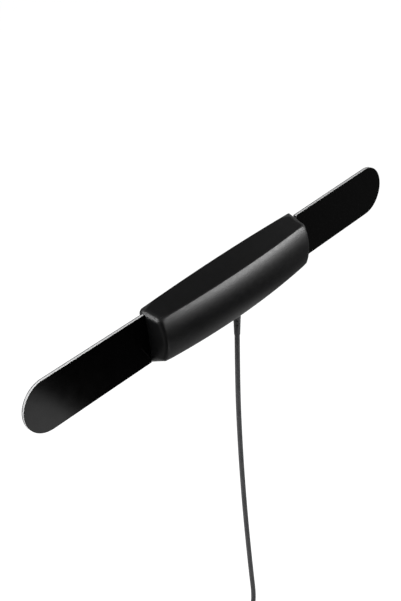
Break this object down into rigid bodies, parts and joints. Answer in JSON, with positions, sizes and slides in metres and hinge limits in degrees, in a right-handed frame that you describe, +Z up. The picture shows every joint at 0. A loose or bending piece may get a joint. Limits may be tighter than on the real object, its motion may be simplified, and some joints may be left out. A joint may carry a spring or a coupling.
{
  "type": "indoor tv antenna",
  "caption": "Wall-hung indoor television antenna: flat gloss black blades reach out of both ends of a curved matte hub, and its coaxial cable ends in a screw-on connector.",
  "frame": {"origin": "on the wall plane at the back of the hub, at the middle of its length and at the blades' middle height", "axes": "+X along the blades to the right as seen from the front, +Y into the wall, +Z up; the front faces -Y"},
  "size_m": [0.5752, 0.0376, 0.6234],
  "materials": {
    "hub_plastic": "fine-grained matte black moulding",
    "blade_gloss": "gloss black face with a light machined edge",
    "blade_aluminium": "satin, with fine machining lines on its edge",
    "screw_steel": "zinc plated",
    "contact_brass": "plain rolled",
    "board_laminate": "glass-fibre laminate",
    "ferrite": "sintered, dull",
    "copper_wire": "bright copper",
    "cable_sheath": "soft satin sheath",
    "coax_dielectric": "white foam plastic",
    "boot_rubber": "matte",
    "nickel_plate": "nickel plated"
  },
  "bodies": {
    "antenna": {"front_cover": "hub_plastic", "rear_cover": "hub_plastic", "left_blade_facing": "blade_gloss", "right_blade_facing": "blade_gloss", "left_blade_element": "blade_aluminium", "right_blade_element": "blade_aluminium", "blade_screws": "screw_steel", "cover_screws": "screw_steel", "board_screws": "screw_steel", "left_contact_strap": "contact_brass", "right_contact_strap": "contact_brass", "contact_rivets": "contact_brass", "coax_clamp": "contact_brass", "balun_board": "board_laminate", "balun_core": "ferrite", "balun_winding": "copper_wire", "connector_pin": "copper_wire", "coax_jacket": "cable_sheath", "cable_lead": "cable_sheath", "cable_coil": "cable_sheath", "cable_tail": "cable_sheath", "coax_core": "coax_dielectric", "connector_insulator": "coax_dielectric", "cable_boot": "boot_rubber", "coil_tie": "boot_rubber", "connector_ferrule": "nickel_plate", "connector_post": "nickel_plate"},
    "coupling_nut": {"connector_nut": "nickel_plate"}
  },
  "joints": [
    {"name": "coupling_nut_turn", "type": "hinge", "parent": "antenna", "child": "coupling_nut", "pos_m": [-0.081, -0.013, -0.58], "axis": [0, 0, -1], "continuous": true}
  ]
}
